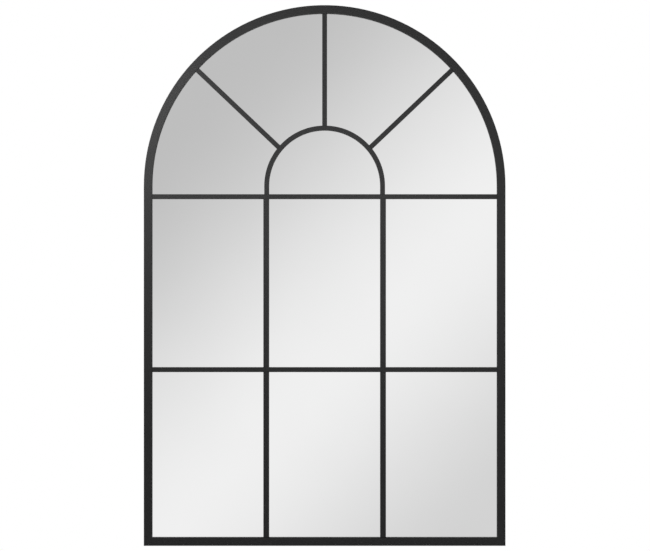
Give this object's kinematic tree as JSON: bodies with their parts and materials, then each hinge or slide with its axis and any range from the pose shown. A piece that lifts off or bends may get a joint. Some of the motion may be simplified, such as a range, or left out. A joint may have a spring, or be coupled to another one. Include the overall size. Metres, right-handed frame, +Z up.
{
  "type": "arched window mirror",
  "caption": "Wall-hung mirror made like an arched window: black steel tube frame with a half-round head, bars with an inner arch and fan over one arched mirror sheet",
  "frame": {"origin": "midway between the two keyhole entry holes, in the plane of the hangers' back faces", "axes": "+X to the viewer's right, +Y to the wall, so that the mirror faces -Y, +Z up"},
  "size_m": [0.6, 0.0268, 0.8969],
  "materials": {
    "black_coat": "matte charcoal-black powder coat on steel",
    "mirror": "silvered float glass",
    "fibreboard": "raw fibreboard",
    "foam": "black closed-cell foam",
    "zinc_steel": "bright zinc plate on steel",
    "bumper_rubber": "matte black rubber"
  },
  "bodies": {
    "frame": {"left_stile": "black_coat", "right_stile": "black_coat", "arch_head": "black_coat", "bottom_rail": "black_coat", "transom_bar": "black_coat", "lower_bar": "black_coat", "left_lower_mullion": "black_coat", "left_upper_mullion": "black_coat", "right_lower_mullion": "black_coat", "right_upper_mullion": "black_coat", "inner_arch": "black_coat", "centre_spoke": "black_coat", "left_spoke": "black_coat", "right_spoke": "black_coat", "foam_tape": "foam", "mirror_glass": "mirror", "backing_board": "fibreboard", "turn_button_screws": "zinc_steel", "left_hanger": "zinc_steel", "right_hanger": "zinc_steel", "hanger_screws": "zinc_steel", "wall_bumpers": "bumper_rubber"},
    "left_low_button": {"left_low_turn_button": "zinc_steel"},
    "left_high_button": {"left_high_turn_button": "zinc_steel"},
    "left_rail_button": {"left_rail_turn_button": "zinc_steel"},
    "left_upper_arch_button": {"left_upper_arch_turn_button": "zinc_steel"},
    "left_lower_arch_button": {"left_lower_arch_turn_button": "zinc_steel"},
    "right_low_button": {"right_low_turn_button": "zinc_steel"},
    "right_high_button": {"right_high_turn_button": "zinc_steel"},
    "right_rail_button": {"right_rail_turn_button": "zinc_steel"},
    "right_upper_arch_button": {"right_upper_arch_turn_button": "zinc_steel"},
    "right_lower_arch_button": {"right_lower_arch_turn_button": "zinc_steel"}
  },
  "joints": [
    {"name": "left_low_button_swivel", "type": "hinge", "parent": "frame", "child": "left_low_button", "pos_m": [-0.2945, -0.0053, -0.407], "axis": [0, 1, 0], "range_deg": [-90, 90]},
    {"name": "left_high_button_swivel", "type": "hinge", "parent": "frame", "child": "left_high_button", "pos_m": [-0.2945, -0.0053, -0.13], "axis": [0, 1, 0], "range_deg": [-90, 90]},
    {"name": "left_rail_button_swivel", "type": "hinge", "parent": "frame", "child": "left_rail_button", "pos_m": [-0.15, -0.0053, -0.5515], "axis": [0, 1, 0], "range_deg": [-90, 90]},
    {"name": "left_upper_arch_button_swivel", "type": "hinge", "parent": "frame", "child": "left_upper_arch_button", "pos_m": [-0.11978, -0.0053, 0.30904], "axis": [0, 1, 0], "range_deg": [-90, 90]},
    {"name": "left_lower_arch_button_swivel", "type": "hinge", "parent": "frame", "child": "left_lower_arch_button", "pos_m": [-0.26904, -0.0053, 0.15978], "axis": [0, 1, 0], "range_deg": [-90, 90]},
    {"name": "right_low_button_swivel", "type": "hinge", "parent": "frame", "child": "right_low_button", "pos_m": [0.2945, -0.0053, -0.407], "axis": [0, 1, 0], "range_deg": [-90, 90]},
    {"name": "right_high_button_swivel", "type": "hinge", "parent": "frame", "child": "right_high_button", "pos_m": [0.2945, -0.0053, -0.13], "axis": [0, 1, 0], "range_deg": [-90, 90]},
    {"name": "right_rail_button_swivel", "type": "hinge", "parent": "frame", "child": "right_rail_button", "pos_m": [0.15, -0.0053, -0.5515], "axis": [0, 1, 0], "range_deg": [-90, 90]},
    {"name": "right_upper_arch_button_swivel", "type": "hinge", "parent": "frame", "child": "right_upper_arch_button", "pos_m": [0.11978, -0.0053, 0.30904], "axis": [0, 1, 0], "range_deg": [-90, 90]},
    {"name": "right_lower_arch_button_swivel", "type": "hinge", "parent": "frame", "child": "right_lower_arch_button", "pos_m": [0.26904, -0.0053, 0.15978], "axis": [0, 1, 0], "range_deg": [-90, 90]}
  ]
}
